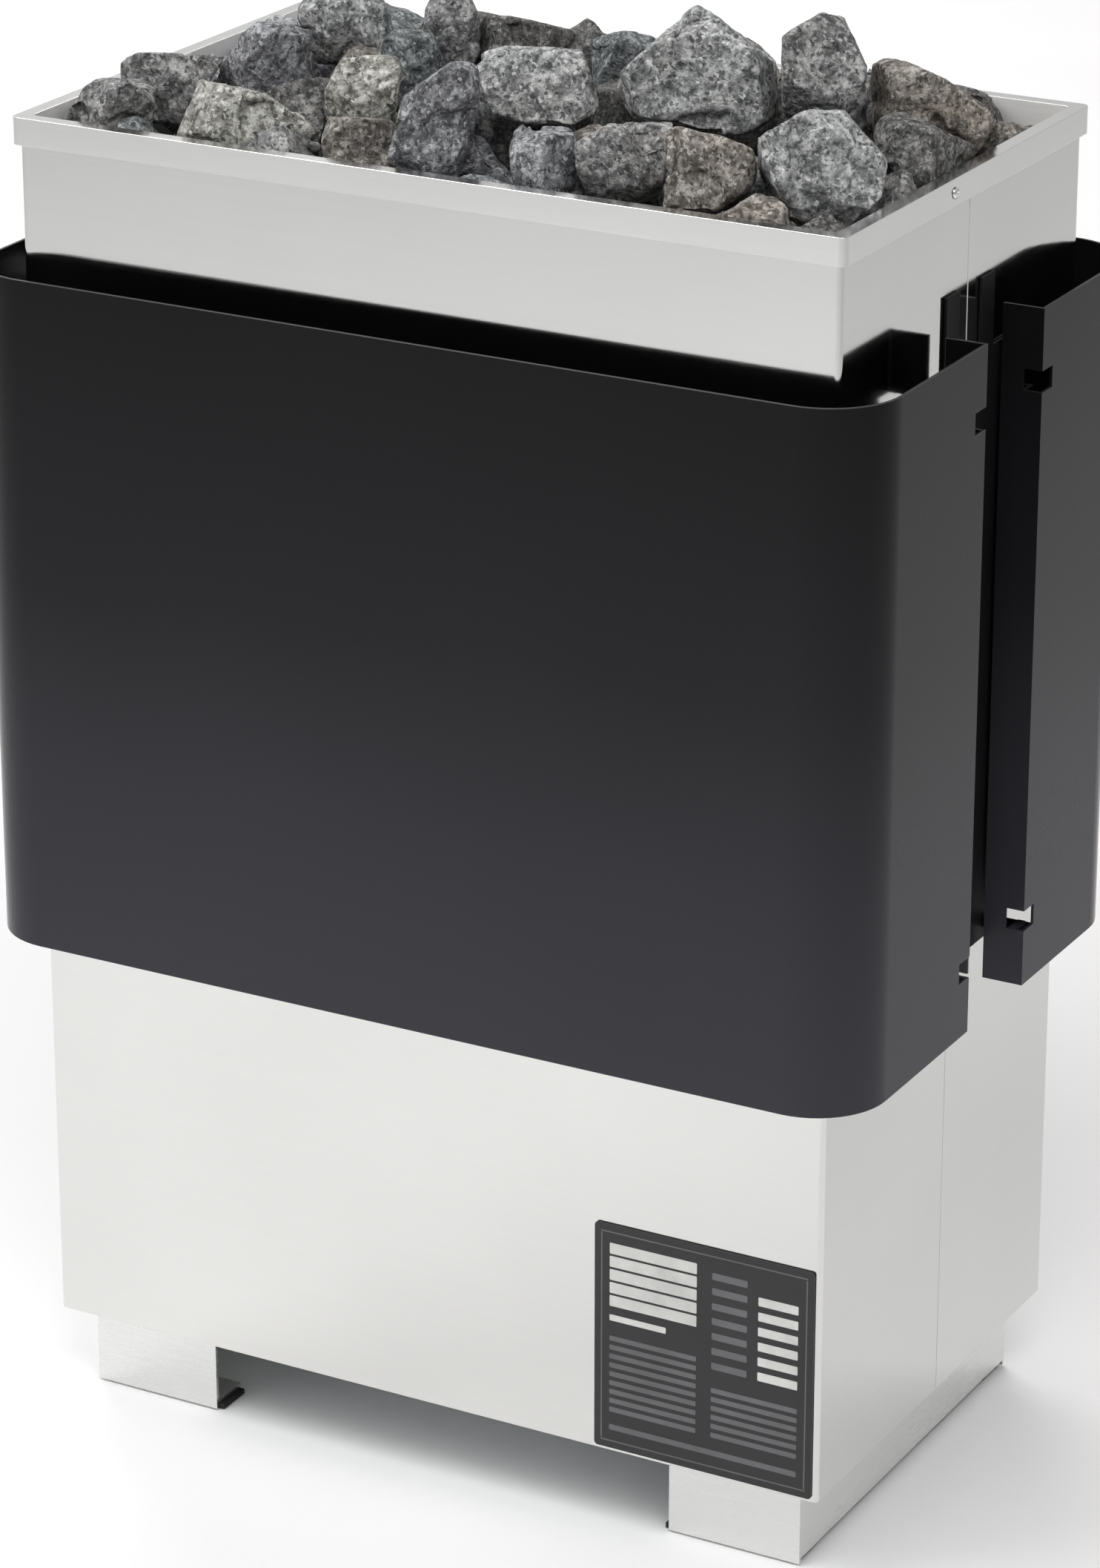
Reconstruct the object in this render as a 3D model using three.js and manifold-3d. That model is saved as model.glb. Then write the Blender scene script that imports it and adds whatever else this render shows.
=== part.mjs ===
// Floor-standing electric sauna heater.
// A polished two-part steel casing stands on two folded feet. Two dark U-shaped
// panels hang on rails at its sides and leave an air gap all round. Three tube
// heating elements stand in an inner duct, a grate lies on the duct and carries
// the stones, and the wiring sits below a partition plate.
// Millimetres, +Z up, origin on the floor under the middle, front towards -Y.

import * as THREE from 'three';
import { mergeVertices } from 'three/addons/utils/BufferGeometryUtils.js';
import Module from 'manifold-3d';

const wasm = await Module();
wasm.setup();

// ---------------------------------------------------------------- dimensions
const GAP = 0.3;             // play between pieces that touch

// casing
const CASE_W = 448;          // outer width, X
const CASE_D = 270;          // outer depth, Y
const CASE_Z0 = 45;          // lower edge
const CASE_Z1 = 693;         // upper edge, under the rim
const CASE_T = 1.2;          // sheet
const CASE_R = 3;            // outer bend radius
const SEAM_Y = 4;            // seam between the two half shells
const SEAM_FLANGE = 12.8;    // folded-in seam flange

// rim on the upper edge
const RIM_TOP = 695;
const RIM_H = 14;
const RIM_OUT = 3;           // stands proud of the casing
const RIM_IN = 5;            // reaches inside the casing
const RIVET_Y = -20;
const RIVET_Z = 688;

// outer panels
const PANEL_W = 500;
const PANEL_D = 320;
const PANEL_Z0 = 265;
const PANEL_Z1 = 620;
const PANEL_T = 1.5;
const PANEL_R = 38;
const FRONT_EDGE_Y = -28;    // where the front panel's wings end
const REAR_EDGE_Y = 37;      // where the rear panel's wings begin
const FLANGE_X = 228.2;      // inner edge of the wings' folded flange
const HOOK_Z_TOP = 575.5;    // underside of the upper hooks
const HOOK_Z_LOW = 292.5;    // underside of the lower hooks
const RAIL_TOP = 637;        // top of the rails' tongues
const NOTCH_Y = 12;
const NOTCH_Z = 11;

// feet
const FOOT_X0 = 135;
const FOOT_X1 = 209;
const FOOT_Y0 = -123;
const FOOT_Y1 = 125;
const FOOT_T = 2;
const PAD_H = 3;

// inside
const TRAY_Z = 46;
const PLATE_Z = 256;         // partition that carries the elements
const DUCT_X = 206;
const DUCT_Y = 118;
const GRATE_Z = 578.3;
const BED_Z0 = 586.5;
const BED_Z1 = 655;
const BED_X = 208;
const BED_Y = 126;
const ELEMENT_X = [-140, 0, 140];
const TUBE_D = 8.5;
const LEG_Y = 84;            // outer legs; inner legs stand at a third of it
const TOP_BEND_Z = 535;
const LOW_BEND_Z = 300;
const GLAND = [120, 85];     // X, Z of the cable inlet in the rear shell

// ------------------------------------------------------------------- helpers
const { Manifold, Mesh: SolidMesh } = wasm;

function solid(geometry) {
  let g = geometry.index ? geometry.toNonIndexed() : geometry.clone();
  for (const n of Object.keys(g.attributes)) if (n !== 'position') g.deleteAttribute(n);
  g = mergeVertices(g, 1e-4);
  return new Manifold(new SolidMesh({
    numProp: 3,
    vertProperties: Float32Array.from(g.attributes.position.array),
    triVerts: Uint32Array.from(g.index.array),
  }));
}

const join = (first, ...rest) => rest.reduce((a, b) => a.add(b), first);
const cut = (first, ...rest) => rest.reduce((a, b) => a.subtract(b), first);

function box(x0, x1, y0, y1, z0, z1) {
  const [xa, xb] = [Math.min(x0, x1), Math.max(x0, x1)];
  const [ya, yb] = [Math.min(y0, y1), Math.max(y0, y1)];
  const [za, zb] = [Math.min(z0, z1), Math.max(z0, z1)];
  const g = new THREE.BoxGeometry(xb - xa, yb - ya, zb - za);
  g.translate((xa + xb) / 2, (ya + yb) / 2, (za + zb) / 2);
  return solid(g);
}

// round or many-sided bar along an axis, from a to b on that axis
function bar(axis, r, a, b, p, q, sides = 20, r2 = r) {
  const g = new THREE.CylinderGeometry(r2, r, Math.abs(b - a), sides);
  const m = (a + b) / 2;
  if (axis === 'x') { g.rotateZ(-Math.PI / 2); g.translate(m, p, q); }
  if (axis === 'y') { g.translate(p, m, q); }
  if (axis === 'z') { g.rotateX(Math.PI / 2); g.translate(p, q, m); }
  return solid(g);
}

const arc = (cx, cy, r, a0, a1, n) => Array.from({ length: n + 1 }, (_, i) => {
  const a = a0 + (a1 - a0) * i / n;
  return [cx + r * Math.cos(a), cy + r * Math.sin(a)];
});

function roundRect(hx, hy, r, n = 4) {
  const q = Math.PI / 2;
  return [
    ...arc(hx - r, hy - r, r, 0, q, n), ...arc(-hx + r, hy - r, r, q, 2 * q, n),
    ...arc(-hx + r, -hy + r, r, 2 * q, 3 * q, n), ...arc(hx - r, -hy + r, r, 3 * q, 4 * q, n),
  ];
}

// upright prism over a plan outline
function prism(points, z0, z1, holes = []) {
  const v = (p) => new THREE.Vector2(p[0], p[1]);
  const shape = new THREE.Shape(points.map(v));
  for (const h of holes) shape.holes.push(new THREE.Path(h.map(v)));
  const g = new THREE.ExtrudeGeometry(shape, { depth: z1 - z0, bevelEnabled: false, steps: 1 });
  g.translate(0, 0, z0);
  return solid(g);
}

// path with its stations given one by one, so straights stay long and bends fine
class StationPath extends THREE.Curve {
  constructor(points) {
    super();
    this.p = points.map((a) => new THREE.Vector3(...a));
  }
  at(u) { return Math.min(this.p.length - 1, Math.max(0, Math.round(u * (this.p.length - 1)))); }
  getPoint(u, target = new THREE.Vector3()) { return target.copy(this.p[this.at(u)]); }
  getPointAt(u, target) { return this.getPoint(u, target); }
  getTangentAt(u, target = new THREE.Vector3()) {
    const i = this.at(u), n = this.p.length - 1;
    return target.copy(this.p[Math.min(n, i + 1)]).sub(this.p[Math.max(0, i - 1)]).normalize();
  }
  getTangent(u, target) { return this.getTangentAt(u, target); }
}

function tube(points, d, sides) {
  const ring = Array.from({ length: sides }, (_, i) => {
    const a = 2 * Math.PI * (i + 0.5) / sides;
    return new THREE.Vector2(Math.cos(a) * d / 2, Math.sin(a) * d / 2);
  });
  return solid(new THREE.ExtrudeGeometry(new THREE.Shape(ring), {
    steps: points.length - 1, bevelEnabled: false, extrudePath: new StationPath(points),
  }));
}

const heater = new THREE.Group();
heater.name = 'sauna_heater';

const finishes = {
  polished: { color: 0xd4d4d0, roughness: 0.16, metalness: 1.0 },
  panel: { color: 0x2b2b30, roughness: 0.32, metalness: 0.35 },
  zinc: { color: 0xa9acae, roughness: 0.45, metalness: 0.9 },
  foot: { color: 0xdcdbd8, roughness: 0.3, metalness: 0.85 },
  heat: { color: 0x4b4744, roughness: 0.55, metalness: 0.7 },
  plate: { color: 0x17171a, roughness: 0.5, metalness: 0.0 },
  rubber: { color: 0x1b1b1c, roughness: 0.9, metalness: 0.0 },
  ceramic: { color: 0xe8e2d4, roughness: 0.35, metalness: 0.0 },
  wire: { color: 0xb9b2a4, roughness: 0.7, metalness: 0.0 },
  gland: { color: 0x2a2b2d, roughness: 0.6, metalness: 0.0 },
  brass: { color: 0xb08d4a, roughness: 0.35, metalness: 0.9 },
  stone: { color: 0x77777a, roughness: 0.92, metalness: 0.0 },
};

function part(name, manifold, finish) {
  const m = manifold.getMesh();
  const g = new THREE.BufferGeometry();
  g.setAttribute('position', new THREE.BufferAttribute(Float32Array.from(m.vertProperties), 3));
  g.setIndex(new THREE.BufferAttribute(Uint32Array.from(m.triVerts), 1));
  g.computeVertexNormals();
  const mesh = new THREE.Mesh(g, new THREE.MeshStandardMaterial(finishes[finish]));
  mesh.name = name;
  heater.add(mesh);
}

// --------------------------------------------------------------- outer panels
// y is measured outwards: `s` is -1 for the front and +1 for the rear.
const HOOKS = [
  { z: HOOK_Z_TOP, x0: 231, x1: 235, lug: 238 },
  { z: HOOK_Z_LOW, x0: 241, x1: 245, lug: 247.4 },
];

function panel(s, edge) {
  const hx = PANEL_W / 2, hy = PANEL_D / 2, t = PANEL_T, r = PANEL_R, q = Math.PI / 2, n = 12;
  const e = s * edge;
  const plan = [
    [hx, e], ...arc(hx - r, hy - r, r, 0, q, n), ...arc(-hx + r, hy - r, r, q, 2 * q, n), [-hx, e],
    [-FLANGE_X, e], [-FLANGE_X, e + t], [-hx + t, e + t],
    ...arc(-hx + r, hy - r, r - t, 2 * q, q, n), ...arc(hx - r, hy - r, r - t, q, 0, n),
    [hx - t, e + t], [FLANGE_X, e + t], [FLANGE_X, e],
  ].map(([x, y]) => [x, s * y]);
  let body = prism(plan, PANEL_Z0, PANEL_Z1);
  for (const sx of [-1, 1]) {
    for (const h of HOOKS) {
      // notch whose tongue is bent inwards into a hook
      body = cut(body, box(sx * 240, sx * (hx + 1), s * (e - 1), s * (e + NOTCH_Y), h.z + 2, h.z + 2 + NOTCH_Z));
      body = join(body,
        box(sx * h.x0, sx * h.x1, s * (e + t - 0.5), s * (e + 13.5), h.z, h.z + 2),
        box(sx * h.x0, sx * h.x1, s * (e + 11.5), s * (e + 13.5), h.z - 8, h.z + 1));
    }
  }
  return body;
}
part('front_panel', panel(-1, FRONT_EDGE_Y), 'panel');
part('rear_panel', panel(1, REAR_EDGE_Y), 'panel');

// dark rails on the casing's sides, with one slotted lug for each hook and a
// tongue that stands up beside the panel's edge
function rail(s, edge, sx) {
  const e = s * edge, x0 = CASE_W / 2 + GAP;
  let body = join(
    box(sx * x0, sx * (x0 + 1.5), s * (e - 20), s * (e + 22), HOOK_Z_LOW - 7.5, HOOK_Z_TOP + 24.5),
    box(sx * x0, sx * (x0 + 1.5), s * (e - 20), s * (e - 5), HOOK_Z_TOP + 20, RAIL_TOP));
  for (const h of HOOKS) {
    body = join(body, box(sx * (x0 + 1), sx * h.lug, s * (e + 5), s * (e + 18), h.z - 2.3, h.z - GAP));
    body = cut(body, box(sx * (h.x0 - 1), sx * (h.x1 + 1), s * (e + 10), s * (e + 15), h.z - 4, h.z + 1));
  }
  return body;
}
part('hook_rail_front_right', rail(-1, FRONT_EDGE_Y, 1), 'panel');
part('hook_rail_front_left', rail(-1, FRONT_EDGE_Y, -1), 'panel');
part('hook_rail_rear_right', rail(1, REAR_EDGE_Y, 1), 'panel');
part('hook_rail_rear_left', rail(1, REAR_EDGE_Y, -1), 'panel');

// --------------------------------------------------------------------- casing
function shell(s, edge) {
  const hx = CASE_W / 2, hy = CASE_D / 2, t = CASE_T, r = CASE_R, q = Math.PI / 2, n = 4;
  const e = s * edge;
  const plan = [
    [hx, e], ...arc(hx - r, hy - r, r, 0, q, n), ...arc(-hx + r, hy - r, r, q, 2 * q, n), [-hx, e],
    [-hx + t, e], ...arc(-hx + r, hy - r, r - t, 2 * q, q, n), ...arc(hx - r, hy - r, r - t, q, 0, n), [hx - t, e],
  ].map(([x, y]) => [x, s * y]);
  let body = prism(plan, CASE_Z0, CASE_Z1);
  for (const sx of [-1, 1]) {
    for (const [z0, z1] of [[66, 238], [262, 572]]) {
      body = join(body, box(sx * (hx - t - SEAM_FLANGE), sx * (hx - t + 0.5), s * e, s * (e + t), z0, z1));
    }
  }
  return body;
}
const rivetHole = bar('x', 1.8, -260, 260, RIVET_Y, RIVET_Z, 12);
part('front_shell', cut(shell(-1, SEAM_Y - GAP), rivetHole), 'polished');
part('rear_shell', cut(shell(1, SEAM_Y + GAP), bar('y', 13, 120, 140, GLAND[0], GLAND[1], 24)), 'polished');

// folded rim that closes the upper edge and bridges the seam
const rim = cut(
  prism(roundRect(CASE_W / 2 + RIM_OUT, CASE_D / 2 + RIM_OUT, 4), RIM_TOP - RIM_H, RIM_TOP,
    [roundRect(CASE_W / 2 - RIM_IN, CASE_D / 2 - RIM_IN, 3)]),
  prism(roundRect(CASE_W / 2 + GAP, CASE_D / 2 + GAP, 3.3), RIM_TOP - RIM_H - 1, CASE_Z1 + GAP,
    [roundRect(CASE_W / 2 - CASE_T - GAP, CASE_D / 2 - CASE_T - GAP, 1.5)]),
  bar('x', 1.8, CASE_W / 2 - 0.5, 260, RIVET_Y, RIVET_Z, 12),
  bar('x', 1.8, -260, -CASE_W / 2 + 0.5, RIVET_Y, RIVET_Z, 12),
);
part('rim_frame', rim, 'polished');

// blind rivets through the rim into the front shell
function rivet(sx) {
  const x = CASE_W / 2 + RIM_OUT + 0.2;
  const dome = [[0, 0], [3, 0], [2.8, 0.5], [2, 1.0], [1, 1.25], [0, 1.3]].map((p) => new THREE.Vector2(...p));
  const g = new THREE.LatheGeometry(dome, 14);
  g.rotateZ(-sx * Math.PI / 2);
  g.translate(sx * x, RIVET_Y, RIVET_Z);
  return join(solid(g), bar('x', 1.45, sx * (x + 0.2), sx * (CASE_W / 2 - CASE_T + 0.1), RIVET_Y, RIVET_Z, 12));
}
part('rim_rivet_right', rivet(1), 'polished');
part('rim_rivet_left', rivet(-1), 'polished');

// thin plate for ratings on the lower front, left plain
part('data_plate', box(99, 221, -CASE_D / 2 - GAP - 1, -CASE_D / 2 - GAP, 47, 172), 'plate');

// ----------------------------------------------------------------------- feet
function foot(sx) {
  const top = TRAY_Z - GAP, t = FOOT_T;
  let body = join(
    box(sx * FOOT_X0, sx * FOOT_X1, FOOT_Y0, FOOT_Y1, top - t, top),
    box(sx * FOOT_X0, sx * FOOT_X1, FOOT_Y0, FOOT_Y0 + t, 0.6, top),
    box(sx * FOOT_X0, sx * FOOT_X1, FOOT_Y1 - t, FOOT_Y1, 0.6, top),
    box(sx * (FOOT_X1 - t), sx * FOOT_X1, FOOT_Y0, FOOT_Y1, 3.6, top),
    box(sx * FOOT_X0, sx * FOOT_X1, FOOT_Y0, FOOT_Y0 + 24, PAD_H + GAP, PAD_H + GAP + t),
    box(sx * FOOT_X0, sx * FOOT_X1, FOOT_Y1 - 24, FOOT_Y1, PAD_H + GAP, PAD_H + GAP + t),
  );
  for (const y of [-90, 90]) body = cut(body, bar('z', 3.4, 20, 60, sx * 176, y, 16));
  return body;
}
part('right_foot', foot(1), 'foot');
part('left_foot', foot(-1), 'foot');

const pad = (sx, y0, y1) => cut(
  box(sx * (FOOT_X0 - 3), sx * (FOOT_X1 - FOOT_T - GAP), y0, y1, 0, PAD_H),
  box(sx * (FOOT_X0 + 12), sx * (FOOT_X1 - 14), (y0 + y1) / 2 - 1.5, (y0 + y1) / 2 + 1.5, -1, 0.8));
part('foot_pad_front_right', pad(1, FOOT_Y0 + 2.3, FOOT_Y0 + 23), 'rubber');
part('foot_pad_front_left', pad(-1, FOOT_Y0 + 2.3, FOOT_Y0 + 23), 'rubber');
part('foot_pad_rear_right', pad(1, FOOT_Y1 - 23, FOOT_Y1 - 2.3), 'rubber');
part('foot_pad_rear_left', pad(-1, FOOT_Y1 - 23, FOOT_Y1 - 2.3), 'rubber');

// hexagon screws that hold each foot under the tray
const footScrew = (x, y) => join(
  bar('z', 5.5, TRAY_Z - GAP - FOOT_T - 4.3, TRAY_Z - GAP - FOOT_T - GAP, x, y, 6),
  bar('z', 2.9, TRAY_Z - GAP - FOOT_T - 1, TRAY_Z + 9, x, y, 14));
part('foot_screw_front_right', footScrew(176, -90), 'zinc');
part('foot_screw_rear_right', footScrew(176, 90), 'zinc');
part('foot_screw_front_left', footScrew(-176, -90), 'zinc');
part('foot_screw_rear_left', footScrew(-176, 90), 'zinc');

// ----------------------------------------------------- base tray and partition
const SHEET_X = CASE_W / 2 - CASE_T - 0.6, SHEET_Y = CASE_D / 2 - CASE_T - 0.6;
let tray = cut(
  box(-SHEET_X, SHEET_X, -SHEET_Y, SHEET_Y, TRAY_Z, TRAY_Z + 15),
  box(-SHEET_X + 1.5, SHEET_X - 1.5, -SHEET_Y + 1.5, SHEET_Y - 1.5, TRAY_Z + 1.5, TRAY_Z + 16));
for (const x of [-176, 176]) for (const y of [-90, 90]) tray = join(tray, bar('z', 6.5, TRAY_Z + 1, TRAY_Z + 7, x, y, 16));
for (const x of [-176, 176]) for (const y of [-90, 90]) tray = cut(tray, bar('z', 3.3, 40, 60, x, y, 16));
for (const y of [-50, -25, 0, 25, 50, 75]) tray = cut(tray, box(-110, 110, y - 4, y + 4, 40, 50));
part('base_tray', tray, 'zinc');

let partition = cut(
  box(-SHEET_X, SHEET_X, -SHEET_Y, SHEET_Y, PLATE_Z - 15, PLATE_Z + 1.5),
  box(-SHEET_X + 1.5, SHEET_X - 1.5, -SHEET_Y + 1.5, SHEET_Y - 1.5, PLATE_Z - 16, PLATE_Z));
for (const x of ELEMENT_X) for (const y of [-LEG_Y, LEG_Y]) partition = cut(partition, bar('z', TUBE_D / 2 + 0.5, 230, 270, x, y, 14));
for (const x of [-70, 70]) for (const y of [-50, 0, 50]) partition = cut(partition, box(x - 52, x + 52, y - 5, y + 5, 250, 270));
part('element_plate', partition, 'zinc');

// ------------------------------------------------------ duct, grate, elements
part('inner_duct', cut(
  box(-DUCT_X, DUCT_X, -DUCT_Y, DUCT_Y, PLATE_Z + 1.5 + GAP, GRATE_Z - GAP),
  box(-DUCT_X + 1, DUCT_X - 1, -DUCT_Y + 1, DUCT_Y - 1, PLATE_Z, GRATE_Z + 1)), 'zinc');

let grate = box(-212, 212, -126, 126, GRATE_Z, GRATE_Z + 6);
for (let i = 0; i < 14; i++) {
  const x = -195 + 30 * i;
  for (const [y0, y1] of [[-116, -6], [6, 116]]) grate = cut(grate, box(x - 10, x + 10, y0, y1, GRATE_Z - 1, GRATE_Z + 7));
}
part('stone_grate', grate, 'heat');

function elementPath(x) {
  const y1 = LEG_Y, y2 = LEG_Y / 3, r = (y1 - y2) / 2, n = 7, p = [];
  const bend = (cy, cz, rr, a0, a1) => arc(cy, cz, rr, a0, a1, n).forEach(([y, z]) => p.push([x, y, z]));
  p.push([x, -y1, 222]);
  bend(-(y1 + y2) / 2, TOP_BEND_Z, r, Math.PI, 0);
  bend(0, LOW_BEND_Z, y2, Math.PI, 2 * Math.PI);
  bend((y1 + y2) / 2, TOP_BEND_Z, r, Math.PI, 0);
  p.push([x, y1, 222]);
  return p;
}
ELEMENT_X.forEach((x, i) => {
  let body = tube(elementPath(x), TUBE_D, 8);
  for (const y of [-LEG_Y, LEG_Y]) {
    body = join(body, bar('z', 2, 205, 224, x, y, 10),
      bar('z', 8.5, PLATE_Z + 1.5 + GAP, PLATE_Z + 6, x, y, 6));
  }
  part(`heating_element_${i + 1}`, body, 'heat');
});

// ---------------------------------------------------------------------- wiring
part('terminal_bracket', join(
  box(-60, 60, -120, -86, TRAY_Z + 1.5 + GAP, TRAY_Z + 3.3),
  box(-60, 60, -88, -86, TRAY_Z + 2, 78),
  box(-60, 60, -114, -86, 76.5, 78)), 'zinc');

let block = box(-50, 50, -112, -90, 78.3, 100);
for (const x of [-30, -10, 10, 30]) block = cut(block, box(x - 1, x + 1, -113, -89, 86, 101));
for (const x of [-40, -20, 0, 20, 40]) block = cut(block, bar('z', 3.2, 94, 101, x, -95.5, 12));
part('terminal_block', block, 'ceramic');

function lead(points, pin) {
  const curve = new THREE.CatmullRomCurve3(points.map((p) => new THREE.Vector3(...p)));
  const stations = curve.getSpacedPoints(10).map((v) => [v.x, v.y, v.z]);
  return cut(join(tube(stations, 4.4, 8), bar('z', 3.6, 196, 213, pin[0], pin[1], 10)),
    bar('z', 2.3, 204.7, 214, pin[0], pin[1], 10));
}
part('lead_phase_1', lead([[-40, -103, 100.3], [-44, -103, 125], [-92, -97, 160], [-140, -84, 178], [-140, -84, 198]], [-140, -84]), 'wire');
part('lead_phase_2', lead([[-20, -103, 100.3], [-19, -103, 125], [-6, -95, 155], [0, -84, 176], [0, -84, 198]], [0, -84]), 'wire');
part('lead_phase_3', lead([[0, -103, 100.3], [4, -104, 125], [80, -100, 158], [140, -84, 178], [140, -84, 198]], [140, -84]), 'wire');

let bridge = box(-147, 147, LEG_Y - 6, LEG_Y + 6, 211, 213);
for (const x of ELEMENT_X) bridge = cut(bridge, bar('z', 2.3, 205, 220, x, LEG_Y, 12));
part('star_bridge', bridge, 'brass');

part('earth_stud', join(
  bar('z', 6, TRAY_Z + 1.5 + GAP, TRAY_Z + 6.5, 95, -100, 6),
  bar('z', 2.9, TRAY_Z + 4, TRAY_Z + 24, 95, -100, 12)), 'brass');

// cable inlet: body outside, thread through the shell, nut inside
const [GX, GZ] = GLAND, GY = CASE_D / 2;
part('cable_gland', cut(join(
  bar('y', 12.4, GY - 14, GY + 4, GX, GZ, 20),
  bar('y', 17, GY + GAP, GY + 8, GX, GZ, 6),
  bar('y', 14, GY + 7, GY + 18, GX, GZ, 20, 11.5)),
bar('y', 8, GY - 20, GY + 20, GX, GZ, 16)), 'gland');
part('gland_nut', cut(
  bar('y', 17.5, GY - 7, GY - CASE_T - GAP, GX, GZ, 6),
  bar('y', 12.8, GY - 12, GY, GX, GZ, 20)), 'gland');

// ---------------------------------------------------------------------- stones
// Each stone is a broken block: a rounded body whose faces are cut flat, and cut
// flat again where it leans on its neighbours. U runs across the heap as it is
// seen from the front right corner, D runs into it, Z is up.
const HEAP_TURN = THREE.MathUtils.degToRad(28.8);
const U = [Math.cos(HEAP_TURN), Math.sin(HEAP_TURN), 0];
const D = [-Math.sin(HEAP_TURN), Math.cos(HEAP_TURN), 0];

const BLOCK = 3.4;                        // 2 is an egg, more is blockier
const BLOCK_DUAL = BLOCK / (BLOCK - 1);
const BREAKS = 14;                        // broken faces on each stone

function rng(seed) {
  let a = seed >>> 0;
  return () => {
    a = (a + 0x6D2B79F5) | 0;
    let t = Math.imul(a ^ (a >>> 15), 1 | a);
    t = (t + Math.imul(t ^ (t >>> 7), 61 | t)) ^ t;
    return ((t ^ (t >>> 14)) >>> 0) / 4294967296;
  };
}

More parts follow.
